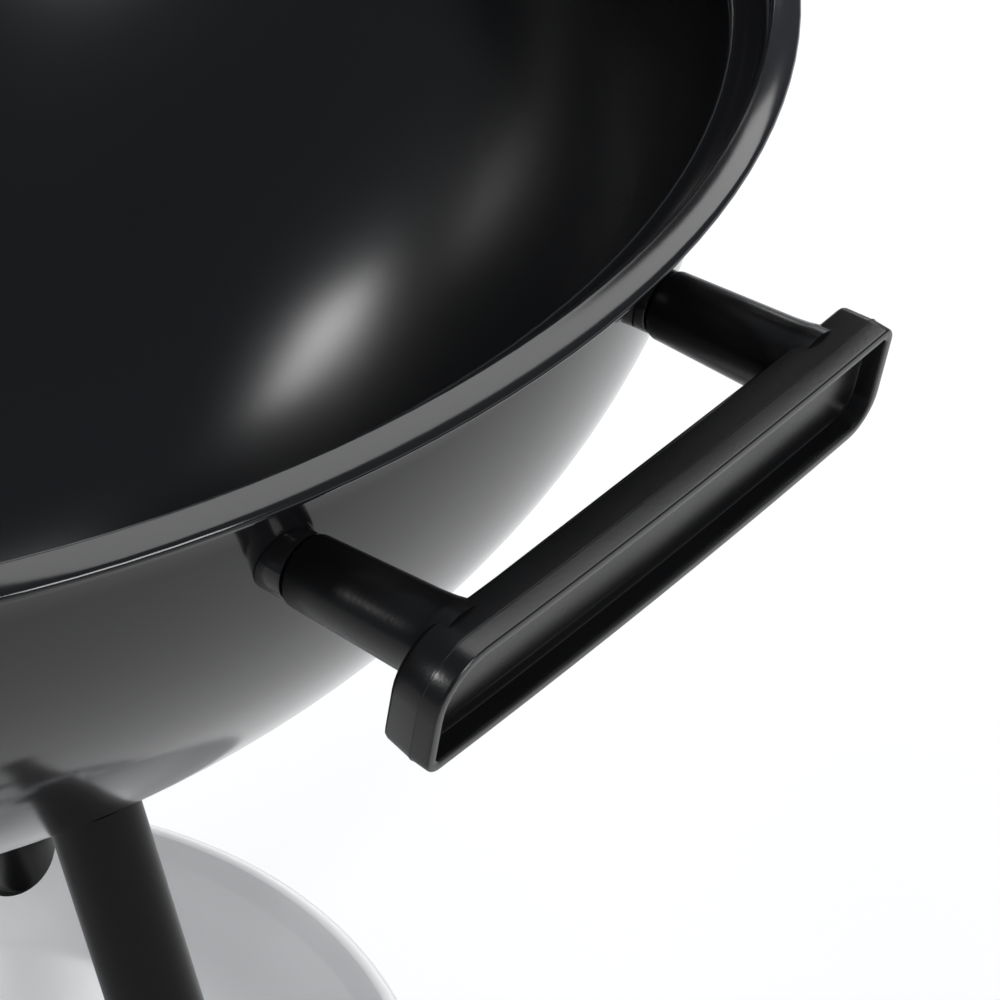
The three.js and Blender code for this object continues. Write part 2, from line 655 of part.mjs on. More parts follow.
// the cooking grate hangs by its rim wire in the hook, its plane upright
const cradle = new THREE.Vector3(0, GRIP_HALF_H + GAP - HOOK_DROP, GAP + HOOK_T + CRADLE_R)
  .applyMatrix4(gripFrame);
const LOOP = { half: 26, stand: 24, wireR: 2.5 };
function liftingLoop(side) {
  const foot = side * Math.sqrt(COOKING_R ** 2 - LOOP.half ** 2);
  const top = side * (COOKING_R - 6.5);
  const feet = [-1, 1].map((s) => [foot, s * LOOP.half, 0]);
  const tops = [-1, 1].map((s) => [top, s * LOOP.half, LOOP.stand]);
  return [
    rod(feet[0], tops[0], LOOP.wireR, LOOP.wireR, 8),
    rod(feet[1], tops[1], LOOP.wireR, LOOP.wireR, 8),
    rod(tops[0], tops[1], LOOP.wireR, LOOP.wireR, 8),
    ...tops.map((p) => new THREE.SphereGeometry(LOOP.wireR, 8, 6).translate(...p)),
  ];
}
const cookingFlat = join(
  ring(COOKING_R, COOKING_WIRE_R, 36),
  ...bars(COOKING_R, 2.2, 24, 15),
  crossBar(COOKING_R, -75, 2.5, -3.4),
  crossBar(COOKING_R, 75, 2.5, -3.4),
  ...liftingLoop(1),
  ...liftingLoop(-1),
);
// hung up, its bars run along Y and its upper side, with the lifting loops, faces the bowl
const hung = new THREE.Matrix4()
  .makeBasis(new THREE.Vector3(0, 1, 0), new THREE.Vector3(0, 0, 1), new THREE.Vector3(1, 0, 0))
  .setPosition(-cradle.x, -cradle.y, RIM_Z + cradle.z - COOKING_R);
part("cooking_grate", cookingFlat.applyMatrix4(hung), "chrome");

// ---- lid, drawn shut and swung open about the hinge pin -----------------------------------
const hinge = new THREE.Group();
hinge.position.set(0, HINGE.y, HINGE.z);
hinge.rotation.x = -rad(LID_OPEN_DEG);
const lidFrame = new THREE.Group();
lidFrame.position.set(0, -HINGE.y, -HINGE.z);
hinge.add(lidFrame);
grill.add(hinge);

const lidCrownZ = LID_BASE_Z - lidDish.crownDrop;
const HEM_Z = LEDGE_Z + GAP;
const LID_POST_SEAT = 3; // the washers' least height over the lid's skin
const lidPostZ = lidCrownZ + Math.sqrt(lidDish.crownR ** 2 - POST_Y ** 2) + LID_POST_SEAT;
const onLidTop = new THREE.Matrix4()
  .makeBasis(new THREE.Vector3(0, 0, 1), new THREE.Vector3(1, 0, 0), new THREE.Vector3(0, 1, 0))
  .setPosition(0, -POST_BASE.z, lidPostZ - POST_BASE.x);
const onLid = (geometry) => geometry.clone().applyMatrix4(onLidTop);
const LID_VENT_DEG = 24; // the vent's place on the crown, on the front of the lid
const onVent = (geometry) => geometry.clone().rotateX(rad(LID_VENT_DEG)).translate(0, 0, lidCrownZ);
const LID_BOLT_Z = RIM_Z + 31;

const lidBlank = turned([
  [LID_WALL_R - STEEL, HEM_Z],
  [LID_WALL_R + 2, HEM_Z],
  [LID_WALL_R + 2, HEM_Z + 3.5],
  [LID_WALL_R, HEM_Z + 5],
  ...lidDish.skin(0, 0).map(up),
  ...lidDish.skin(-STEEL, 0).map(up).reverse(),
  [LID_WALL_R - STEEL, HEM_Z],
]);
const lidHoles = [
  ...ventTools(lidDish.crownR, VENT_DEGREES).map(onVent),
  onVent(rod([0, 0, lidDish.crownR - 9], [0, 0, lidDish.crownR + 9], RIVET_R + 0.5, RIVET_R + 0.5, 8)),
  ...[-1, 1].map((side) => onLid(screwHole(side))),
  ...boltHoles(LID_BOLT_Z),
];
part("lid", cut(lidBlank, ...lidHoles), "enamel", lidFrame);
part("lid_handle", onLid(handleBody), "plastic", lidFrame);
[["a", -1], ["b", 1]].forEach(([end, side]) => {
  part(`lid_washer_${end}`, cut(onLid(washerBlank(side, 14)), lidForm), "enamel", lidFrame);
  part(`lid_screw_${end}`, onLid(screwShape(side, -9.4)), "zinc", lidFrame);
});

const fingerTab = block([-9, 40, lidDish.crownR - 3], [9, 42, lidDish.crownR + 12]);
const lidDamper = join(damperDisc(lidDish.crownR, VENT_DEGREES), fingerTab);
part("lid_damper", onVent(lidDamper), "aluminium", lidFrame);
const lidRivet = rivet(lidDish.crownR - STEEL - 2.4, lidDish.crownR + DAMPER_LIFT + DAMPER_T + GAP, 6.5);
part("lid_damper_rivet", onVent(lidRivet), "zinc", lidFrame);

// ---- hinge ------------------------------------------------------------------------------
const EAR_IN_X = 19;
const EAR_OUT_X = 22;
const atRim = (points) => points.map(([y, z]) => [y, RIM_Z + z]);
const earOutline = atRim([
  [210, -17], [222, -17], [236.5, -9.5], [246, -2], [246, 14], [250, 17],
  [266.4, 17], [266.4, -12], [242, -42], [210, -52],
]);
const bowlBracket = cut(
  join(
    platePiece(earOutline, -EAR_OUT_X, -EAR_IN_X),
    platePiece(earOutline, EAR_IN_X, EAR_OUT_X),
    block([-EAR_OUT_X, 210, RIM_Z - 50], [EAR_OUT_X, 222, RIM_Z - 17]),
    block([-EAR_OUT_X, 263.4, RIM_Z - 10], [EAR_OUT_X, 266.4, RIM_Z + 17]),
  ),
  rod([-40, HINGE.y, HINGE.z], [40, HINGE.y, HINGE.z], PIN_R + 0.5, PIN_R + 0.5, 20),
  bowlForm,
  ...boltHoles(BOWL_BOLT_Z),
);
part("hinge_bracket_bowl", bowlBracket, "powder");

const KNUCKLE_X = 15;
const armOutline = atRim([
  [212, 10.5], [228, 10.5], [245, 4.5], [254, 0.5], [261.5, 5], [261.5, 11],
  [254, 16], [245, 15], [229, 19.5], [226.5, 24], [224.5, 46], [212, 46],
]);
const lidBracket = cut(
  platePiece(armOutline, -KNUCKLE_X, KNUCKLE_X),
  rod([-40, HINGE.y, HINGE.z], [40, HINGE.y, HINGE.z], PIN_R + 0.5, PIN_R + 0.5, 20),
  lidForm,
  ...boltHoles(LID_BOLT_Z),
);
part("hinge_bracket_lid", lidBracket, "powder", lidFrame);

const pinX = EAR_OUT_X + GAP;
const hingePin = join(
  rod([-pinX, HINGE.y, HINGE.z], [pinX, HINGE.y, HINGE.z], PIN_R, PIN_R, 16),
  rod([-pinX - 3, HINGE.y, HINGE.z], [-pinX, HINGE.y, HINGE.z], 6.5, 6.5, 16),
  rod([pinX, HINGE.y, HINGE.z], [pinX + 3, HINGE.y, HINGE.z], 6.5, 6.5, 16),
);
part("hinge_pin", hingePin, "zinc");

function throughBolt(x, z, headY, nutY) {
  return join(
    rod([x, headY, z], [x, headY + 3, z], 5, 4.2, 12),
    rod([x, nutY - 3.4, z], [x, headY, z], 2.2, 2.2, 8),
    rod([x, nutY - 3.4, z], [x, nutY, z], 4.4, 4.4, 6),
  );
}
["a", "b"].forEach((end, i) => {
  part(`hinge_bolt_bowl_${end}`, throughBolt(BOLTS_X[i], BOWL_BOLT_Z, 222 + GAP, 211.4), "zinc");
  part(`hinge_bolt_lid_${end}`, throughBolt(BOLTS_X[i], LID_BOLT_Z, 226.9, 215.2), "zinc", lidFrame);
});

// ---- origin: the middle of the grill's footprint, on the floor ----------------------------
grill.updateMatrixWorld(true);
const extent = new THREE.Box3().setFromObject(grill, true);
const middle = extent.getCenter(new THREE.Vector3());
grill.position.set(-middle.x, -middle.y, -extent.min.z);

export default grill;
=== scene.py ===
"""The looks of the kettle grill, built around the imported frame.

Every piece is drawn in millimetres about the bowl's axis, with the floor at z = 0,
and is put in place in metres by one matrix: GRILL, or LID for what swings with the lid.
"""
from math import asin, cos, hypot, pi, radians, sin, sqrt, tan

import bmesh
import bpy
from mathutils import Matrix, Vector


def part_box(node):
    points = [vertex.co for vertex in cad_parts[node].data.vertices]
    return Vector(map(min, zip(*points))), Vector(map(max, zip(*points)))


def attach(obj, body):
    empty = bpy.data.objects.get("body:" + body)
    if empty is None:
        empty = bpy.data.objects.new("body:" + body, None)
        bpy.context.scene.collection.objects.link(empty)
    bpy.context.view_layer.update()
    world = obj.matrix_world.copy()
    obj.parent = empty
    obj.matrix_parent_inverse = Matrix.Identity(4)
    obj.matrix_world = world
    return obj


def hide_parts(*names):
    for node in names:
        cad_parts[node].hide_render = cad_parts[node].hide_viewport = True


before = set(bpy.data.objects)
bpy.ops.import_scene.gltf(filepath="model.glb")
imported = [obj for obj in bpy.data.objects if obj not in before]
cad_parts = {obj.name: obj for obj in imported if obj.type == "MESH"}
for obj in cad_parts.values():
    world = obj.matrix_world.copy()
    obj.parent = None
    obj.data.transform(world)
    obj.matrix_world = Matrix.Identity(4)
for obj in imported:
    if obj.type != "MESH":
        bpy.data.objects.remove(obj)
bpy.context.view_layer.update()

# ---- driving dimensions, in millimetres ------------------------------------------------
GAP = 0.3
STEEL = 2.0
RIM = 690.0
LEDGE = RIM - 6
BAND_R = 226.5
BOWL_WALL_R, BOWL_KNUCKLE_R, BOWL_TURN = 219.0, 140.0, 35.0
LID_WALL_R, LID_KNUCKLE_R, LID_TURN = 223.0, 130.0, 40.0
LID_BASE = RIM + 4
HINGE = Vector((0, 254, RIM + 8))
LID_OPEN = radians(100)

TAB_IN_R, TAB_OUT_R, TAB_HALF_W, TAB_Z = 198.0, 215.2, 9.0, RIM - 34
VENT_SPOTS = (30, 150, 270)
VENT_RING_R, VENT_HOLE_R = 30.0, 12.0
DAMPER_R, RIVET_HEAD_R = 47.0, 6.5

SPLAY = radians(14.6)
LEG_SLOPE = tan(SPLAY)
LEG_TOP_R, LEG_TOP_Z = 90.7, RIM - 178.4
LEG_TURNS = {"front": 0, "left": 120, "right": 240}
LEG_TUBE_R, LEG_BORE_R, SOCKET_R = 11.0, 9.9, 9.5
BOLT_Z = LEG_TOP_Z - 14
WHEEL_R, WHEEL_Y, AXLE_R = 75.0, 206.0, 4.0
WHEEL_RIM_R, TREAD_HALF = 65.0, 14.0

PAN_RIM_R, PAN_FLOOR_R, PAN_RIM_Z, PAN_DEPTH = 142.0, 105.0, RIM - 340, 22.0
PAN_STEEL, PAN_NOTCH_R = 1.5, 12.6
RACK_Z, RACK_R, RACK_WIRE = 150.0, 150.0, 2.5
COALS_R, COALS_WIRE, COALS_BAR = 157.0, 4.0, 3.0
COOKING_R, COOKING_WIRE, COOKING_BAR = 206.0, 3.5, 2.2

GRIP_HALF_L, GRIP_HALF_H, GRIP_DEPTH, GRIP_BOW = 70.0, 12.85, 11.5, 1.0
GRIP_TILT = radians(12.2)
POST_Y, POST_FOOT_R, POST_FOOT_DROP = 55.0, 213.5, 28.0
POST_DROP = radians(4)
POST_BORE_R, WASHER_L = 3.4, 13.7
HOOK_STEEL, CRADLE_R = 2.0, COOKING_WIRE + 1

bowl_low, bowl_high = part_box("bowl")
AXIS = Vector(((bowl_low.x + bowl_high.x) / 2, (bowl_low.y + bowl_high.y) / 2, 0))
GRILL = Matrix.Translation(AXIS) @ Matrix.Scale(0.001, 4)
SWING = Matrix.Translation(HINGE) @ Matrix.Rotation(-LID_OPEN, 4, "X") @ Matrix.Translation(-HINGE)
LID = GRILL @ SWING


# ---- shaping helpers ------------------------------------------------------------------
def arc(x, z, r, start, end, steps):
    """Points of an arc, from one angle in degrees to another."""
    angles = [radians(start + (end - start) * i / steps) for i in range(steps + 1)]
    return [(x + r * cos(a), z + r * sin(a)) for a in angles]


def eased(points, steps=4):
    """A smooth line through all the points."""
    ends = [points[0], *points, points[-1]]
    line = []
    for before, a, b, after in zip(ends, ends[1:], ends[2:], ends[3:]):
        for i in range(steps):
            t = i / steps
            line.append(tuple(
                0.5 * (2 * q + (r - p) * t + (2 * p - 5 * q + 4 * r - s) * t ** 2
                       + (3 * q - p - 3 * r + s) * t ** 3)
                for p, q, r, s in zip(before, a, b, after)
            ))
    return [*line, points[-1]]


def turned(profile, steps=96, shut=True):
    """A shape spun about Z from its [radius, height] profile."""
    bm = bmesh.new()
    verts = [bm.verts.new((r, 0, z)) for r, z in profile]
    edges = [bm.edges.new(pair) for pair in zip(verts, verts[1:])]
    if shut:
        edges.append(bm.edges.new((verts[-1], verts[0])))
    bmesh.ops.spin(bm, geom=verts + edges, cent=(0, 0, 0), axis=(0, 0, 1), dvec=(0, 0, 0),
                   angle=2 * pi, steps=steps, use_merge=True)
    bmesh.ops.remove_doubles(bm, verts=bm.verts, dist=1e-4)
    bmesh.ops.recalc_face_normals(bm, faces=bm.faces)
    return bm


def joined(*shapes):
    """One bmesh that holds several."""
    whole = bmesh.new()
    for shape in shapes:
        mesh = bpy.data.meshes.new("shape")
        shape.to_mesh(mesh)
        shape.free()
        whole.from_mesh(mesh)
        bpy.data.meshes.remove(mesh)
    return whole


def put(bm, matrix):
    bmesh.ops.transform(bm, matrix=matrix, verts=bm.verts)
    return bm


def along(a, b):
    """The matrix that lays +Z from a towards b."""
    direction = Vector(b) - Vector(a)
    return Matrix.Translation(a) @ direction.to_track_quat("Z", "Y").to_matrix().to_4x4()


def about_z(bm, degrees):
    return put(bm, Matrix.Rotation(radians(degrees), 4, "Z"))


def rod(a, b, r0, r1=None, edge=0.4, sides=40):
    """A round rod from a to b with softened ends."""
    length = (Vector(b) - Vector(a)).length
    r1 = r0 if r1 is None else r1
    edge = min(edge, r0 / 2, r1 / 2, length / 3)
    profile = [
        (0, 0), (r0 - edge, 0), (r0 - edge * 0.3, edge * 0.3), (r0, edge),
        (r1, length - edge), (r1 - edge * 0.3, length - edge * 0.3), (r1 - edge, length), (0, length),
    ]
    return put(turned(profile, sides, shut=False), along(a, b))


def soften(bm, width, segments=2, angle=30):
    """Rounds every edge that turns by more than an angle."""
    sharp = [e for e in bm.edges if len(e.link_faces) == 2 and e.calc_face_angle(0) > radians(angle)]
    bmesh.ops.bevel(bm, geom=sharp, offset=width, offset_type="OFFSET", affect="EDGES",
                    segments=segments, profile=0.5, material=-1, clamp_overlap=True)
    return bm


def block(low, high, edge=0.4):
    """A box between two corners, with its edges rounded."""
    bm = bmesh.new()
    bmesh.ops.create_cube(bm, size=1)
    size = Vector(high) - Vector(low)
    middle = (Vector(high) + Vector(low)) / 2
    put(bm, Matrix.Translation(middle) @ Matrix.Diagonal((*size, 1)))
    return soften(bm, edge)


def plate(outline, low, high, edge=0.4):
    """A plate with its outline in the YZ plane, from x = low to x = high."""
    bm = bmesh.new()
    face = bm.faces.new([bm.verts.new((low, y, z)) for y, z in outline])
    raised = bmesh.ops.extrude_face_region(bm, geom=[face])["geom"]
    top = [v for v in raised if isinstance(v, bmesh.types.BMVert)]
    bmesh.ops.translate(bm, vec=(high - low, 0, 0), verts=top)
    bmesh.ops.recalc_face_normals(bm, faces=bm.faces)
    return soften(bm, edge) if edge else bm


def wire(points, r, sides=12):
    """A round wire bent along a line of points."""
    bm = bmesh.new()
    spots = [Vector(p) for p in points]
    rings = []
    for i, spot in enumerate(spots):
        heading = spots[min(i + 1, len(spots) - 1)] - spots[max(i - 1, 0)]
        place = Matrix.Translation(spot) @ heading.to_track_quat("Z", "Y").to_matrix().to_4x4()
        ring = bmesh.ops.create_circle(bm, cap_ends=False, radius=r, segments=sides, matrix=place)["verts"]
        rings.append(list({e for v in ring for e in v.link_edges}))
    for a, b in zip(rings, rings[1:]):
        bmesh.ops.bridge_loops(bm, edges=a + b)
    for ends in (rings[0], rings[-1]):
        bmesh.ops.edgeloop_fill(bm, edges=ends)
    bmesh.ops.recalc_face_normals(bm, faces=bm.faces)
    return bm


def hoop(radius, r):
    """A ring of round wire in a level plane."""
    return turned(arc(radius, 0, r, 0, 360, 12)[:-1], 128)


def cut_away(bm, *tools):
    """Cuts closed shapes out of a closed shape."""
    pieces = []
    for shape in (bm, joined(*tools)):
        mesh = bpy.data.meshes.new("blank")
        shape.to_mesh(mesh)
        shape.free()
        pieces.append(bpy.data.objects.new("blank", mesh))
        bpy.context.scene.collection.objects.link(pieces[-1])
    blank, tool = pieces
    cut = blank.modifiers.new("cut", "BOOLEAN")
    cut.operation = "DIFFERENCE"
    cut.solver = "EXACT"
    cut.object = tool
    left = bmesh.new()
    left.from_object(blank, bpy.context.evaluated_depsgraph_get())
    for spent in pieces:
        bpy.data.meshes.remove(spent.data)
    return left


# ---- the two dished walls ---------------------------------------------------------------
def crown_of(wall, knuckle, turn):
    """The crown's radius, and how far its centre lies past the rim's plane."""
    arm = wall - knuckle
    return knuckle + arm / cos(radians(turn)), arm * tan(radians(turn))


def skin(wall, knuckle, turn, offset, start, steps):
    """[radius, depth] of a dished wall moved outwards by offset, from its rim down to its pole."""
    crown, drop = crown_of(wall, knuckle, turn)
    points = arc(wall - knuckle, 0, knuckle + offset, start, turn, steps)
    points += arc(0, -drop, crown + offset, turn, 90, 3 * steps)[1:]
    points[-1] = (0, points[-1][1])
    return points


BOWL_CROWN, BOWL_DROP = crown_of(BOWL_WALL_R, BOWL_KNUCKLE_R, BOWL_TURN)
LID_CROWN, LID_DROP = crown_of(LID_WALL_R, LID_KNUCKLE_R, LID_TURN)
BOWL_BOTTOM_Z = RIM - (BOWL_CROWN - BOWL_DROP)
LID_CENTRE_Z = LID_BASE - LID_DROP


def bowl_skin(offset, steps=14):
    wall_starts = 6
    line = skin(BOWL_WALL_R, BOWL_KNUCKLE_R, BOWL_TURN, offset, wall_starts, steps)
    return [(r, RIM - depth) for r, depth in line]


def lid_skin(offset, steps=14):
    line = skin(LID_WALL_R, LID_KNUCKLE_R, LID_TURN, offset, 0, steps)
    return [(r, LID_BASE + depth) for r, depth in line]


def bowl_former():
    """The bowl as a full solid, a gap larger, that trims what is fitted to its wall."""
    return turned([(0, RIM), (BOWL_WALL_R + GAP, RIM), *bowl_skin(GAP, 8)], shut=False)


def lid_former():
    """The lid as a full solid, a gap larger, that trims what is fitted to its wall."""
    skirt = LID_BASE - 30
    return turned([(0, skirt), (LID_WALL_R + GAP, skirt), *lid_skin(GAP, 8)], shut=False)


def vent_drills(centre):
    """Three drills about the Z axis that pass through a wall at height centre."""
    drills = []
    for degrees in VENT_SPOTS:
        x, y = VENT_RING_R * cos(radians(degrees)), VENT_RING_R * sin(radians(degrees))
        drills.append(rod((x, y, centre - 30), (x, y, centre + 30), VENT_HOLE_R, edge=0, sides=48))
    return drills


# ---- finishes -------------------------------------------------------------------------
def made_finish(name, dark, light, metal, rough, patch, grain, height, ior=1.5):
    """A finish whose colour and gloss drift over patches, with a fine grain raised on it."""
    material = bpy.data.materials.new(name)
    material.use_nodes = True
    tree = material.node_tree
    shader = tree.nodes["Principled BSDF"]
    shader.inputs["Metallic"].default_value = metal
    shader.inputs["IOR"].default_value = ior
    place = tree.nodes.new("ShaderNodeTexCoord").outputs["Object"]
    drift = tree.nodes.new("ShaderNodeTexNoise")
    drift.inputs["Scale"].default_value = patch
    drift.inputs["Detail"].default_value = 4
    tree.links.new(place, drift.inputs["Vector"])
    shade = tree.nodes.new("ShaderNodeMix")
    shade.data_type = "RGBA"
    shade.inputs["A"].default_value = (*dark, 1)
    shade.inputs["B"].default_value = (*light, 1)
    tree.links.new(drift.outputs["Fac"], shade.inputs["Factor"])
    tree.links.new(shade.outputs["Result"], shader.inputs["Base Color"])
    gloss = tree.nodes.new("ShaderNodeMapRange")
    gloss.inputs["From Min"].default_value = 0.3
    gloss.inputs["From Max"].default_value = 0.7
    gloss.inputs["To Min"].default_value = rough[0]
    gloss.inputs["To Max"].default_value = rough[1]
    tree.links.new(drift.outputs["Fac"], gloss.inputs["Value"])
    tree.links.new(gloss.outputs["Result"], shader.inputs["Roughness"])
    fine = tree.nodes.new("ShaderNodeTexNoise")
    fine.inputs["Scale"].default_value = grain
    fine.inputs["Detail"].default_value = 3
    tree.links.new(place, fine.inputs["Vector"])
    raised = tree.nodes.new("ShaderNodeBump")
    raised.inputs["Strength"].default_value = 1.0
    raised.inputs["Distance"].default_value = height
    tree.links.new(fine.outputs["Fac"], raised.inputs["Height"])
    tree.links.new(raised.outputs["Normal"], shader.inputs["Normal"])
    return material


FINISH = {
    "enamel": made_finish("enamel_gloss", (0.006, 0.006, 0.0065), (0.009, 0.009, 0.010), 0,
                          (0.09, 0.13), 9, 420, 4e-6, ior=1.45),
    "enamel_inside": made_finish("enamel_inside", (0.003, 0.003, 0.0032), (0.0045, 0.0046, 0.005), 0,
                                 (0.17, 0.21), 9, 1500, 1.5e-6, ior=1.5),
    "powder": made_finish("powder_coat", (0.004, 0.004, 0.0042), (0.007, 0.007, 0.0073), 0,
                          (0.30, 0.38), 25, 1800, 2.5e-5, ior=1.22),
    "nylon": made_finish("moulded_nylon", (0.003, 0.003, 0.0032), (0.006, 0.006, 0.0064), 0,
                         (0.24, 0.31), 30, 1100, 2.2e-5, ior=1.40),
    "rubber": made_finish("tyre_rubber", (0.016, 0.016, 0.016), (0.030, 0.029, 0.028), 0,
                          (0.70, 0.85), 40, 1500, 6e-5, ior=1.45),
    "aluminium": made_finish("satin_aluminium", (0.88, 0.88, 0.88), (0.92, 0.92, 0.92), 0.2,
                             (0.42, 0.50), 18, 900, 6e-6),
    "zinc": made_finish("zinc_plate", (0.52, 0.53, 0.55), (0.66, 0.67, 0.69), 1,
                        (0.28, 0.42), 160, 1600, 1.2e-5),
    "plated": made_finish("plated_wire", (0.62, 0.63, 0.64), (0.74, 0.75, 0.76), 1,
                          (0.12, 0.22), 60, 1500, 8e-6),
}


def piece(name, bm, finish, body="base", place=GRILL, sharp=32):
    """Puts a shape in place, gives it its finish and lets it stand for the CAD node of its name."""
    put(bm, place)
    bmesh.ops.remove_doubles(bm, verts=bm.verts, dist=2e-7)
    bmesh.ops.recalc_face_normals(bm, faces=bm.faces)
    mesh = bpy.data.meshes.new(name)
    bm.to_mesh(mesh)
    bm.free()
    mesh.shade_smooth()
    mesh.set_sharp_from_angle(angle=radians(sharp))
    obj = bpy.data.objects.new(name, mesh)
    bpy.context.scene.collection.objects.link(obj)
    mesh.materials.append(FINISH[finish])
    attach(obj, body)
    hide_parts(name)
    return obj


def line_inside(obj, centre, faces_in):
    """Gives the faces that look in towards a centre the softer inside enamel."""
    obj.data.materials.append(FINISH["enamel_inside"])
    for face in obj.data.polygons:
        if faces_in(face.center - centre, face.normal):
            face.material_index = 1


# ---- bowl -----------------------------------------------------------------------------
# up the inner band, out over the sloping lip, round its hem and back under it
LIP_STEPS = (
    (-0.3, -5.2), (0, -1.4), (0.2, 0.1), (0.7, 0.5), (1.6, 0.2), (3.5, -0.6), (5.3, -1.5), (6.3, -2.2),
    (6.6, -2.9), (6.4, -3.5), (5.8, -3.6), (5.2, -3.2), (4.4, -2.6), (2.9, -1.9), (2.1, -2.9), (1.6, -7),
)
lip_line = eased([(BAND_R + out, RIM + up) for out, up in LIP_STEPS], 5)
ledge_under = eased([
    (BAND_R + 1.2, LEDGE - 1.9), (BAND_R - 1.5, LEDGE - 2.5), (BOWL_WALL_R + 2.2, LEDGE - 3.1),
])
ledge_top = eased([
    (BOWL_WALL_R - 1.4, LEDGE - 2.6), (BOWL_WALL_R - 0.6, LEDGE - 0.8), (BOWL_WALL_R + 1.4, LEDGE),
    (BAND_R - 1.6, LEDGE), (BAND_R - 0.6, LEDGE + 0.2),
])
bowl_profile = lip_line + ledge_under + bowl_skin(0) + bowl_skin(-STEEL)[::-1] + ledge_top
bowl = piece("bowl", cut_away(turned(bowl_profile, 160), *vent_drills(BOWL_BOTTOM_Z)), "enamel")


def is_lining(offset, normal):
    """Whether a face of the bowl, given from the rim's centre, lies on the inside below the ledge."""
    flat = Vector((offset.x, offset.y, 0))
    looks_in = flat.normalized().dot(normal) < -0.05
    looks_up = normal.z > 0.5 and flat.length < 0.2
    return offset.z < -0.0075 and (looks_in or looks_up)


line_inside(bowl, AXIS + Vector((0, 0, RIM / 1000)), is_lining)

for i, degrees in enumerate((-60, 60, 180)):
    shelf = block((TAB_IN_R, -TAB_HALF_W, TAB_Z - STEEL), (TAB_OUT_R, TAB_HALF_W, TAB_Z), 0.6)
    web = block((TAB_IN_R + 7, -1, TAB_Z - 14), (TAB_IN_R + 10.5, 1, TAB_Z - 0.4), 0.3)
    piece(f"grate_tab_{i + 1}", about_z(joined(shelf, web), degrees), "enamel_inside")


# ---- dampers --------------------------------------------------------------------------
def damper_disc(crown):
    """A disc dished to a crown's radius, with its three holes."""
    half = asin(DAMPER_R / crown)
    out, under = crown + 2.4, crown + 0.9
    angles = [half * i / 10 for i in range(11)]
    top = [(out * sin(a), out * cos(a)) for a in angles]
    bottom = [(under * sin(a), under * cos(a)) for a in angles[::-1]]
    return cut_away(turned(top + bottom, 96, shut=False), *vent_drills(crown))


def rivet(inner, outer):
    """A rivet with a domed head on both sides of what it holds."""
    shank_r, dome = 3, ((1, 0), (0.85, 1.2), (0.5, 2.1), (0, 2.4))
    low = [(RIVET_HEAD_R * k, inner - h) for k, h in dome[::-1]]
    high = [(RIVET_HEAD_R * k, outer + h) for k, h in dome]
    return turned([*low, (shank_r, inner), (shank_r, outer), *high], 40, shut=False)


def lever_spot(r, stand_off):
    """A spot over the bowl's crown, at a radius and a height off the steel."""
    return (r, 0, sqrt((BOWL_CROWN + stand_off) ** 2 - r ** 2))


HANG = Matrix.Translation((0, 0, RIM + BOWL_DROP)) @ Matrix.Rotation(pi, 4, "X")
lever_line = eased([
    lever_spot(40, 2.2), lever_spot(52, 3.4), lever_spot(64, 5.2),
    lever_spot(73, 7.6), lever_spot(79, 12.5), lever_spot(84, 19.5),
])
knob = rod(lever_spot(83.5, 18.4), lever_spot(92, 29), 4.4, 3.9, edge=1.4)
lever = about_z(joined(wire(lever_line, 2.1), knob), -150)
mirrored = put(damper_disc(BOWL_CROWN), Matrix.Scale(-1, 4, (0, 1, 0)))
piece("bottom_damper", put(joined(mirrored, lever), HANG), "aluminium", "bottom_damper")
piece("bottom_damper_rivet", put(rivet(BOWL_CROWN - STEEL - GAP, BOWL_CROWN + 2.7), HANG), "zinc")


# ---- legs -----------------------------------------------------------------------------
def leg_r(z):
    """How far the legs' centre lines stand from the axis at a height."""
    return LEG_TOP_R + (LEG_TOP_Z - z) * LEG_SLOPE


def leg_spot(z):
    return (leg_r(z), 0, z)


def bolt_spot(out):
    x, _, z = leg_spot(BOLT_Z)
    return (x + out * cos(SPLAY), 0, z + out * sin(SPLAY))


def tube(a, b, outer, inner):
    """A tube from a to b with its ends' edges broken."""
    length = (Vector(b) - Vector(a)).length
    e = 0.35
    profile = [
        (inner + e, 0), (outer - e, 0), (outer, e), (outer, length - e),
        (outer - e, length), (inner + e, length), (inner, length - e), (inner, e),
    ]
    return put(turned(profile, 64), along(a, b))


def button_head(a, b, head, thick):
    """A domed screw head with a hexagon socket, its crown towards a."""
    dome = [
        (0, 0), (head * 0.45, 0.25), (head * 0.8, thick * 0.35), (head, thick * 0.8),
        (head, thick), (0, thick),
    ]
    key = rod((0, 0, -1), (0, 0, thick * 0.6), head * 0.42, edge=0, sides=6)
    return put(cut_away(turned(dome, 48, shut=False), key), along(a, b))


for name, degrees in LEG_TURNS.items():
    end = 9 if name == "front" else 62
    stub = rod(leg_spot(LEG_TOP_Z - 28), leg_spot(LEG_TOP_Z + 44), SOCKET_R, sides=48)
    piece(f"leg_socket_{name}", cut_away(about_z(stub, degrees), bowl_former()), "powder")
    leg = tube(leg_spot(end), leg_spot(LEG_TOP_Z), LEG_TUBE_R, LEG_BORE_R)
    piece(f"leg_{name}", about_z(leg, degrees), "powder")
    bolt = joined(
        button_head(bolt_spot(-14.3), bolt_spot(0), 5, 3),
        rod(bolt_spot(-12), bolt_spot(-2), 2.3),
    )
    piece(f"leg_bolt_{name}", about_z(bolt, degrees), "zinc")


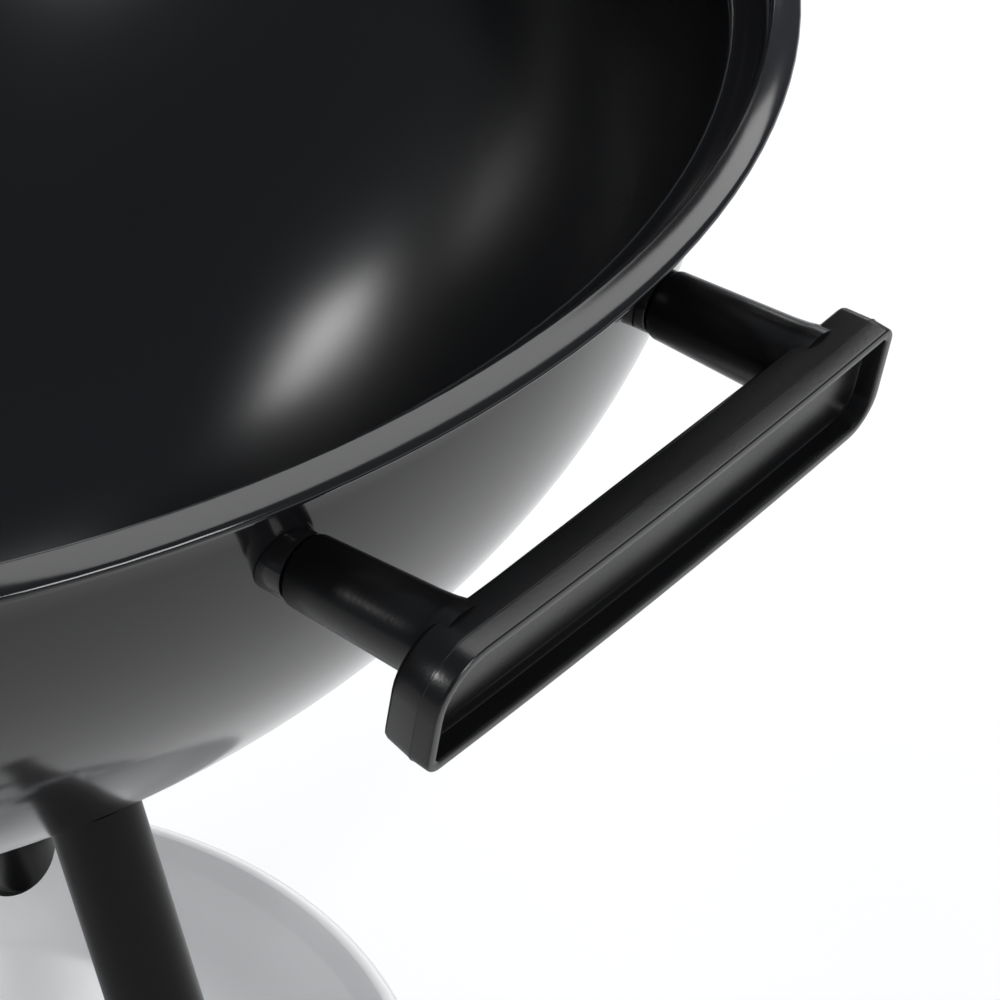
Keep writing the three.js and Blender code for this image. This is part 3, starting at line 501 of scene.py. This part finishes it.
def foot_cup():
    """The front leg's foot: a cup over the tube, cut level where it stands."""
    base, top = Vector(leg_spot(-14)), Vector(leg_spot(34))
    length = (top - base).length
    tube_end = (Vector(leg_spot(8.7)) - base).length
    cup = put(turned([
        (0, 0), (13.5, 0), (13.45, length * 0.55), (13.2, length * 0.62), (12.95, length * 0.66),
        (12.75, length - 1), (12.3, length - 0.2), (11.6, length), (11.3, length - 0.4),
        (11.3, tube_end), (0, tube_end),
    ], 64, shut=False), along(base, top))
    whole = cup.verts[:] + cup.edges[:] + cup.faces[:]
    bmesh.ops.bisect_plane(cup, geom=whole, plane_co=(0, 0, 0), plane_no=(0, 0, 1), clear_inner=True)
    bmesh.ops.holes_fill(cup, edges=[e for e in cup.edges if e.is_boundary], sides=0)
    return cup


piece("foot_cap", foot_cup(), "nylon")

# ---- axle and wheels ------------------------------------------------------------------
AXLE_X = leg_r(WHEEL_R) * cos(radians(LEG_TURNS["left"]))
AXLE_HALF_L = 227
axle = rod((AXLE_X, -AXLE_HALF_L, WHEEL_R), (AXLE_X, AXLE_HALF_L, WHEEL_R), AXLE_R, edge=0.8)
piece("axle", axle, "zinc")


def wheel_body():
    """A moulded wheel: hub, web with windows, stiffening ribs and a deep rim."""
    half, spokes = TREAD_HALF - 2, 5
    rim_side = [
        (WHEEL_RIM_R, half - 0.6), (WHEEL_RIM_R - 0.6, half), (WHEEL_RIM_R - 4.4, half),
        (WHEEL_RIM_R - 5, half - 0.6), (WHEEL_RIM_R - 7, 5), (WHEEL_RIM_R - 9, 4),
    ]
    blank = turned([
        (4.6, -13.6), (12, -13.6), (13, -12.6), (14, -5), (15, -4),
        *[(r, -z) for r, z in rim_side[::-1]], *rim_side,
        (16, 4), (14.6, 5), (14, 14.6), (13, 16), (4.6, 16),
    ], 96)
    windows, ribs = [], []
    for i in range(spokes):
        a = radians(360 / spokes * i)
        x, y = 38 * cos(a), 38 * sin(a)
        windows.append(rod((x, y, -20), (x, y, 20), 14, edge=0, sides=40))
        rib = block((13, -1.2, -9.5), (WHEEL_RIM_R - 6, 1.2, 8.5), 0.5)
        ribs.append(about_z(rib, 36 + 360 / spokes * i))
    return joined(cut_away(blank, *windows), *ribs)


def tyre_body():
    """A solid tyre: crowned tread with four grooves."""
    groove_r = WHEEL_R - 1.3
    side = [
        (WHEEL_RIM_R + 0.6, 0.8 - TREAD_HALF), (WHEEL_RIM_R + 2, -TREAD_HALF),
        (WHEEL_R - 3.4, -TREAD_HALF), (WHEEL_R - 1.6, 0.8 - TREAD_HALF), (WHEEL_R - 0.4, 2.6 - TREAD_HALF),
    ]
    grooves = []
    for z in (-7.2, -2.4, 2.4, 7.2):
        grooves += [(WHEEL_R, z - 0.9), (groove_r, z - 0.6), (groove_r, z + 0.6), (WHEEL_R, z + 0.9)]
    return turned(side + grooves + [(r, -z) for r, z in side[::-1]], 120)


cap_line = [(0, 0), (7, 0), (8, 0.4), (8.5, 1.2), (8.5, 3.6), (8, 5), (6.4, 6.3), (3.5, 6.9), (0, 7)]
for name, side in (("left", 1), ("right", -1)):
    facing_out = Matrix.Rotation(-side * pi / 2, 4, "X")
    stand = Matrix.Translation((AXLE_X, side * WHEEL_Y, WHEEL_R)) @ facing_out
    piece(f"wheel_{name}", put(wheel_body(), stand), "nylon", f"wheel_{name}")
    piece(f"tyre_{name}", put(tyre_body(), stand), "rubber", f"wheel_{name}", sharp=28)
    cap = put(turned(cap_line, 48, shut=False), Matrix.Translation((0, 0, 16.3)))
    piece(f"axle_cap_{name}", put(cap, stand), "nylon")

# ---- ash pan --------------------------------------------------------------------------
PAN_FLOOR_Z = PAN_RIM_Z - PAN_DEPTH
floor_bend = eased([
    (PAN_FLOOR_R - 7, PAN_FLOOR_Z + PAN_STEEL), (PAN_FLOOR_R - 2.5, PAN_FLOOR_Z + 1.8),
    (PAN_FLOOR_R + 1.5, PAN_FLOOR_Z + 3.4),
])
rim_bend = eased([
    (PAN_RIM_R - 10, PAN_RIM_Z - 4.6), (PAN_RIM_R - 5.6, PAN_RIM_Z - 1.4), (PAN_RIM_R - 4, PAN_RIM_Z - 0.3),
])
rolled_rim = arc(PAN_RIM_R - 2, PAN_RIM_Z - 2, 2, 110, -150, 14)
underside = eased([
    (PAN_RIM_R - 9.2, PAN_RIM_Z - 5.6), (PAN_FLOOR_R + 2.2, PAN_FLOOR_Z + 1.4),
    (PAN_FLOOR_R - 2, PAN_FLOOR_Z + 0.2), (PAN_FLOOR_R - 7, PAN_FLOOR_Z),
])
pan_profile = [
    (0, PAN_FLOOR_Z + PAN_STEEL), *floor_bend, *rim_bend, *rolled_rim,
    (PAN_RIM_R - 4.4, PAN_RIM_Z - 2.4), *underside, (0, PAN_FLOOR_Z),
]
UPRIGHT = Matrix(((0, 1, 0, 0), (0, 0, 1, 0), (1, 0, 0, 0), (0, 0, 0, 1)))


def leg_notch(degrees):
    """What is cut from the pan's rim to let a leg stand in it."""
    inner, past_rim = leg_r(PAN_RIM_Z + 20), PAN_RIM_R + 20
    outline = arc(inner, 0, PAN_NOTCH_R, 90, 270, 24) + [(past_rim, -PAN_NOTCH_R), (past_rim, PAN_NOTCH_R)]
    return about_z(put(plate(outline, PAN_FLOOR_Z - 9, PAN_RIM_Z + 9, 0), UPRIGHT), degrees)


pan = turned(pan_profile, 160, shut=False)
for degrees in LEG_TURNS.values():
    pan = cut_away(pan, leg_notch(degrees))
piece("ash_pan", pan, "aluminium", "ash_pan")

for name, degrees in LEG_TURNS.items():
    top = PAN_FLOOR_Z - GAP
    lean = Matrix.Translation(leg_spot(top - 7)) @ Matrix.Rotation(-SPLAY, 4, "Y")
    collar_line = [(11.4, -6), (12.6, -6), (13, -5.6), (13, 5.6), (12.6, 6), (11.4, 6)]
    shelf = block((94, -7, top - 2.5), (leg_r(top) - LEG_TUBE_R - 0.8, 7, top), 0.5)
    clip = joined(put(turned(collar_line, 48), lean), shelf)
    piece(f"pan_clip_{name}", about_z(clip, degrees), "zinc")


# ---- racks and grates -----------------------------------------------------------------
def bars(radius, r, pitch, count):
    """Level bars along X that end on a hoop."""
    made = []
    for i in range(count):
        y = (i - (count - 1) / 2) * pitch
        reach = sqrt(radius ** 2 - y ** 2)
        made.append(rod((-reach, y, 0), (reach, y, 0), r, sides=12))
    return made


def cross_bar(radius, x, r, z):
    reach = sqrt(radius ** 2 - x ** 2)
    return rod((x, -reach, z), (x, reach, z), r, sides=12)


arm_end = leg_r(RACK_Z + RACK_WIRE) - LEG_TUBE_R / cos(SPLAY) - GAP
arms = [
    about_z(rod((RACK_R, 0, 0), (arm_end, 0, 0), RACK_WIRE, sides=16), degrees)
    for degrees in LEG_TURNS.values()
]
rack = joined(hoop(RACK_R, RACK_WIRE), *bars(RACK_R, 1.8, 34, 8), *arms)
piece("bottom_rack", put(rack, Matrix.Translation((0, 0, RACK_Z))), "plated")

coals = joined(
    hoop(COALS_R, COALS_WIRE), *bars(COALS_R, COALS_BAR, 26, 11),
    cross_bar(COALS_R, -80, COALS_BAR, -3), cross_bar(COALS_R, 80, COALS_BAR, -3),
)
piece("charcoal_grate", put(coals, Matrix.Translation((0, 0, RACK_Z + 9))), "plated", "charcoal_grate")

# ---- handles --------------------------------------------------------------------------
# the grip's own X runs along it, Y up it and Z out of its front face
GRIP = Matrix((
    (0, sin(GRIP_TILT), cos(GRIP_TILT), 256.6),
    (1, 0, 0, 0),
    (0, cos(GRIP_TILT), -sin(GRIP_TILT), -36.3),
    (0, 0, 0, 1),
))
# from the trough's floor out over the front rim and back to the rear face: (inset, depth)
GRIP_STEPS = (
    (5.6, 4.3), (4.2, 4.28), (3.1, 4.2), (2.75, 4.0), (2.45, 0.6), (2.35, 0.25), (2.1, 0.05), (1.9, 0),
    (0.55, 0), (0.25, 0.08), (0.06, 0.3), (0, 0.7), (0.02, 4.1), (-0.1, 4.22), (-0.1, 4.4), (0.06, 4.5),
    (0.8, 10.3), (1.1, 10.95), (1.7, 11.4), (2.4, GRIP_DEPTH),
)


def grip_ring(inset, depth):
    """The grip's outline at a depth behind its front face, with a corner radius for each corner."""
    half_l, half_h = GRIP_HALF_L - inset, GRIP_HALF_H - inset
    corners = ((-half_l, half_h, 12), (-half_l, -half_h, 4), (half_l, -half_h, 8), (half_l, half_h, 4))
    ring = []
    for i, (x, y, corner_r) in enumerate(corners):
        r = max(corner_r - inset, 0.8)
        centre_x = x - r if x > 0 else x + r
        centre_y = y - r if y > 0 else y + r
        ring += arc(centre_x, centre_y, r, 90 + 90 * i, 180 + 90 * i, 8)
    outline = []
    for (x0, y0), (x1, y1) in zip(ring, ring[1:] + ring[:1]):
        parts = 10 if hypot(x1 - x0, y1 - y0) > 66 else 1
        outline += [(x0 + (x1 - x0) * i / parts, y0 + (y1 - y0) * i / parts) for i in range(parts)]
    return [Vector((x, y, -depth - GRIP_BOW * (x / GRIP_HALF_L) ** 2)) for x, y in outline]


def lofted(rings):
    """A closed shape that passes through one ring of points after another."""
    bm = bmesh.new()
    loops = []
    for ring in rings:
        verts = [bm.verts.new(p) for p in ring]
        loops.append([bm.edges.new(pair) for pair in zip(verts, verts[1:] + verts[:1])])
    for a, b in zip(loops, loops[1:]):
        bmesh.ops.bridge_loops(bm, edges=a + b)
    for end in (loops[0], loops[-1]):
        bmesh.ops.contextual_create(bm, geom=end)
    bmesh.ops.recalc_face_normals(bm, faces=bm.faces)
    return bm


def post_spot(side, out):
    """A spot on a post's centre line, from its foot outwards."""
    r, drop = POST_FOOT_R + out * cos(POST_DROP), POST_FOOT_DROP + out * sin(POST_DROP)
    return (r, side * POST_Y, -drop)


def handle_body():
    """The grip with its trough, and two round posts that flare into its back."""
    grip = put(lofted([grip_ring(*step) for step in GRIP_STEPS]), GRIP)
    foot = [(POST_BORE_R, 0), (6.3, 0), (6.6, 0.15), (7.2, 0.7), (7.35, 1.2)]
    shank = [(7.35 + 0.95 * t / 26, 1.2 + t) for t in (6, 13, 20, 26)]
    flare = [(8.45, 29), (8.65, 31), (8.95, 32.6), (9.1, 33.4), (9.1, 36.5), (POST_BORE_R, 36.5)]
    posts = [
        put(turned(foot + shank + flare, 72), along(post_spot(side, 0), post_spot(side, 10)))
        for side in (-1, 1)
    ]
    return joined(grip, *posts)


def washer(side, seat, former):
    """The spacer behind a post, trimmed to the wall that it stands on."""
    line = [
        (POST_BORE_R, 0), (6.5, 0), (6.8, 0.12), (6.9, 0.4), (6.9, WASHER_L), (POST_BORE_R, WASHER_L),
    ]
    blank = put(turned(line, 56), along(post_spot(side, -GAP), post_spot(side, -10)))
    return cut_away(put(blank, seat), former)


def handle_screw(side, head):
    return joined(
        button_head(post_spot(side, head - 3), post_spot(side, head), 5.6, 3),
        rod(post_spot(side, head - 0.5), post_spot(side, 14), 3),
    )


AT_RIM = Matrix.Translation((0, 0, RIM))
ON_BOWL = {"right": AT_RIM, "left": AT_RIM @ Matrix.Rotation(pi, 4, "Z")}
ENDS = (("a", -1), ("b", 1))
for name, seat in ON_BOWL.items():
    piece(f"handle_{name}", put(handle_body(), seat), "nylon")
    for end, side in ENDS:
        piece(f"handle_washer_{name}_{end}", washer(side, seat, bowl_former()), "enamel")
        piece(f"handle_screw_{name}_{end}", put(handle_screw(side, -10.6), seat), "zinc")

# ---- grate hook and the cooking grate that hangs on it -----------------------------------
GRIP_TOP = GRIP_HALF_H + GAP
CRADLE_LOW = GRIP_TOP - 40
CRADLE_OUT = GAP + HOOK_STEEL + CRADLE_R


def hook_shape():
    """A strip folded over the grip, down its face and up into a cradle."""
    back, bend, tail = -GRIP_DEPTH - GAP, 2.5, GRIP_TOP - 9
    cradle_lip = CRADLE_LOW + 7
    fold = GRIP_TOP + HOOK_STEEL - bend
    outer = [
        (tail, back - HOOK_STEEL), *arc(fold, back - HOOK_STEEL + bend, bend, -90, 0, 4),
        *arc(fold, HOOK_STEEL + GAP - bend, bend, 0, 90, 4),
        *arc(CRADLE_LOW, CRADLE_OUT, CRADLE_R, -90, -270, 16),
        (cradle_lip, CRADLE_OUT + CRADLE_R), (cradle_lip, CRADLE_OUT + CRADLE_R + HOOK_STEEL),
    ]
    inner = [
        *arc(CRADLE_LOW, CRADLE_OUT, CRADLE_R + HOOK_STEEL, -270, -90, 16),
        (GRIP_TOP, GAP), (GRIP_TOP, back), (tail, back),
    ]
    return plate(outer + inner, -11, 11, 0.35)


piece("grate_hook", put(hook_shape(), ON_BOWL["left"] @ GRIP), "plated")


def lifting_loop(side):
    """A bent wire that stands on the cooking grate's hoop, to lift it by."""
    foot = side * sqrt(COOKING_R ** 2 - 26 ** 2)
    top = side * (COOKING_R - 6.5)
    half = [(foot, 26, 0), (foot * 0.99, 26, 12), (top, 25, 21), (top, 21, 24)]
    line = [(x, -y, z) for x, y, z in half] + half[::-1]
    return wire(eased(line), 2.5)


cooking = joined(
    hoop(COOKING_R, COOKING_WIRE), *bars(COOKING_R, COOKING_BAR, 24, 15),
    cross_bar(COOKING_R, -75, 2.5, -3.4), cross_bar(COOKING_R, 75, 2.5, -3.4),
    lifting_loop(1), lifting_loop(-1),
)
cradle = GRIP @ Vector((0, CRADLE_LOW, CRADLE_OUT))
HUNG = Matrix((
    (0, 0, 1, -cradle.x),
    (1, 0, 0, 0),
    (0, 1, 0, RIM + cradle.z - COOKING_R),
    (0, 0, 0, 1),
))
piece("cooking_grate", put(cooking, HUNG), "plated", "cooking_grate")

# ---- lid ------------------------------------------------------------------------------
HEM = LEDGE + GAP
hem_line = eased([
    (LID_WALL_R - 1.8, HEM + 0.4), (LID_WALL_R - 1.2, HEM), (LID_WALL_R + 1.2, HEM),
    (LID_WALL_R + 2, HEM + 0.8), (LID_WALL_R + 2, HEM + 2.8), (LID_WALL_R + 1.4, HEM + 3.9),
    (LID_WALL_R + 0.2, HEM + 5),
])
lid_profile = hem_line + lid_skin(0) + lid_skin(-STEEL)[::-1]
ON_VENT = Matrix.Translation((0, 0, LID_CENTRE_Z)) @ Matrix.Rotation(radians(24), 4, "X")
lid_drills = [put(drill, ON_VENT) for drill in vent_drills(LID_CROWN)]
lid = piece("lid", cut_away(turned(lid_profile, 160), *lid_drills), "enamel", "lid", place=LID)
lid_middle = LID @ Vector((0, 0, RIM + 20))
line_inside(lid, lid_middle, lambda offset, normal: offset.dot(normal) < -0.02)

lid_post_z = LID_CENTRE_Z + sqrt(LID_CROWN ** 2 - POST_Y ** 2) + 3
ON_LID = Matrix((
    (0, 1, 0, 0),
    (0, 0, 1, POST_FOOT_DROP),
    (1, 0, 0, lid_post_z - POST_FOOT_R),
    (0, 0, 0, 1),
))
piece("lid_handle", put(handle_body(), ON_LID), "nylon", "lid", place=LID)
for end, side in ENDS:
    piece(f"lid_washer_{end}", washer(side, ON_LID, lid_former()), "enamel", "lid", place=LID)
    piece(f"lid_screw_{end}", put(handle_screw(side, -9.4), ON_LID), "zinc", "lid", place=LID)

tab = block((-9, 40, LID_CROWN - 2), (9, 41.8, LID_CROWN + 12), 0.7)
tabbed_disc = joined(damper_disc(LID_CROWN), tab)
piece("lid_damper", put(tabbed_disc, ON_VENT), "aluminium", "lid_damper", place=LID)
lid_rivet = rivet(LID_CROWN - STEEL - 2.4, LID_CROWN + 2.7)
piece("lid_damper_rivet", put(lid_rivet, ON_VENT), "zinc", "lid", place=LID)

# ---- hinge ----------------------------------------------------------------------------
EAR_IN, EAR_OUT, LUG_HALF_W = 19, 22, 15
EAR_SIDE = (
    (210, -17), (222, -17), (236.5, -9.5), (246, -2), (246, 14), (250, 17), (266.4, 17), (266.4, -12),
    (242, -42), (210, -52),
)
LUG_SIDE = (
    (212, 10.5), (228, 10.5), (245, 4.5), (254, 0.5), (261.5, 5), (261.5, 11), (254, 16), (245, 15),
    (229, 19.5), (226.5, 24), (224.5, 46), (212, 46),
)


def at_rim(outline):
    return [(y, RIM + z) for y, z in outline]


bracket = [
    plate(at_rim(EAR_SIDE), -EAR_OUT, -EAR_IN),
    plate(at_rim(EAR_SIDE), EAR_IN, EAR_OUT),
    block((-EAR_OUT, 210, RIM - 50), (EAR_OUT, 222, RIM - 17)),
    block((-EAR_OUT, 263.4, RIM - 10), (EAR_OUT, 266.4, RIM + 17)),
]
bracket = [cut_away(part, bowl_former()) for part in bracket]
piece("hinge_bracket_bowl", joined(*bracket), "powder")
lug = cut_away(plate(at_rim(LUG_SIDE), -LUG_HALF_W, LUG_HALF_W, 0.8), lid_former())
piece("hinge_bracket_lid", lug, "powder", "lid", place=LID)


def on_pin(x):
    return (x, HINGE.y, HINGE.z)


pin_half, head_end = EAR_OUT + GAP, EAR_OUT + GAP + 3
pin = joined(
    rod(on_pin(-pin_half), on_pin(pin_half), 4),
    rod(on_pin(-head_end), on_pin(-pin_half), 6.5, edge=0.8),
    rod(on_pin(pin_half), on_pin(head_end), 6.5, edge=0.8),
)
piece("hinge_pin", pin, "zinc")


def through_bolt(x, z, head_y, nut_y):
    """A bolt with its head outside the wall and a hexagon nut inside it."""
    return joined(
        button_head((x, head_y + 3, z), (x, head_y, z), 5, 3),
        rod((x, nut_y - 3.4, z), (x, head_y, z), 2.2),
        rod((x, nut_y - 3.4, z), (x, nut_y, z), 4.4, sides=6),
    )


for end, side in ENDS:
    on_bowl = through_bolt(side * 9, RIM - 31, 222.3, 211.4)
    piece(f"hinge_bolt_bowl_{end}", on_bowl, "zinc")
    on_lid = through_bolt(side * 9, RIM + 31, 226.9, 215.2)
    piece(f"hinge_bolt_lid_{end}", on_lid, "zinc", "lid", place=LID)


# ---- studio ---------------------------------------------------------------------------
def pale_floor():
    """A wide matt floor that is a little bright of itself, so that it stays even."""
    ground = bmesh.new()
    bmesh.ops.create_grid(ground, x_segments=1, y_segments=1, size=12)
    mesh = bpy.data.meshes.new("floor")
    ground.to_mesh(mesh)
    ground.free()
    floor = bpy.data.objects.new("floor", mesh)
    bpy.context.scene.collection.objects.link(floor)
    pale = bpy.data.materials.new("pale_floor")
    pale.use_nodes = True
    shader = pale.node_tree.nodes["Principled BSDF"]
    shader.inputs["Base Color"].default_value = (0.5, 0.5, 0.5, 1)
    shader.inputs["Roughness"].default_value = 0.9
    shader.inputs["Specular IOR Level"].default_value = 0.0
    shader.inputs["Emission Color"].default_value = (1, 1, 1, 1)
    shader.inputs["Emission Strength"].default_value = 0.52
    mesh.materials.append(pale)


def cool_sky():
    sky = bpy.data.worlds.new("studio")
    bpy.context.scene.world = sky
    sky.use_nodes = True
    sky.node_tree.nodes["Background"].inputs["Color"].default_value = (0.80, 0.88, 1.0, 1)
    sky.node_tree.nodes["Background"].inputs["Strength"].default_value = 0.22


def softbox(name, place, aim, width, height, power):
    """A rectangular lamp that lights and is reflected, and isn't seen itself."""
    lamp = bpy.data.lights.new(name, "AREA")
    lamp.shape = "RECTANGLE"
    lamp.size = width
    lamp.size_y = height
    lamp.energy = power
    obj = bpy.data.objects.new(name, lamp)
    bpy.context.scene.collection.objects.link(obj)
    heading = Vector(aim) - Vector(place)
    obj.matrix_world = Matrix.Translation(place) @ heading.to_track_quat("-Z", "Y").to_matrix().to_4x4()
    obj.visible_camera = False


def aimed_camera(spot, aim, roll, lens):
    """A camera at a spot, turned to what it aims at and rolled about that line."""
    data = bpy.data.cameras.new("camera")
    data.sensor_width = 36
    data.lens = lens
    data.clip_end = 60
    camera = bpy.data.objects.new("camera", data)
    bpy.context.scene.collection.objects.link(camera)
    forward = (aim - spot).normalized()
    level = forward.cross(Vector((0, 0, 1))).normalized()
    upright = level.cross(forward)
    right = cos(roll) * level + sin(roll) * upright
    up = cos(roll) * upright - sin(roll) * level
    camera.matrix_world = Matrix((
        (right.x, up.x, -forward.x, spot.x),
        (right.y, up.y, -forward.y, spot.y),
        (right.z, up.z, -forward.z, spot.z),
        (0, 0, 0, 1),
    ))
    bpy.context.scene.camera = camera


pale_floor()
cool_sky()
softbox("side_box", (-1.07, -0.09, 1.19), (0.06, -0.01, 0.55), 0.16, 0.12, 0.85)
softbox("left_box", (-0.194, -1.246, 1.49), (-0.17, 0.0, 0.65), 0.14, 0.14, 5)
softbox("back_box", (-1.35, 1.55, 1.75), (0.05, -0.2, 0.69), 2.4, 1.3, 28)
softbox("top_box", (0.27, 1.55, 2.15), (0.27, 1.55, 0), 0.8, 3.2, 28)
softbox("front_box", (1.6, -0.4, 1.5), (0.1, -0.2, 0.35), 0.6, 0.6, 14)
camera_spot = AXIS + Vector((0.6177, -0.4884, 1.0944))
camera_aim = AXIS + Vector((0.25394, -0.04776, 0.690))
aimed_camera(camera_spot, camera_aim, -0.035, 145.38)
bpy.context.scene.view_settings.view_transform = "Standard"
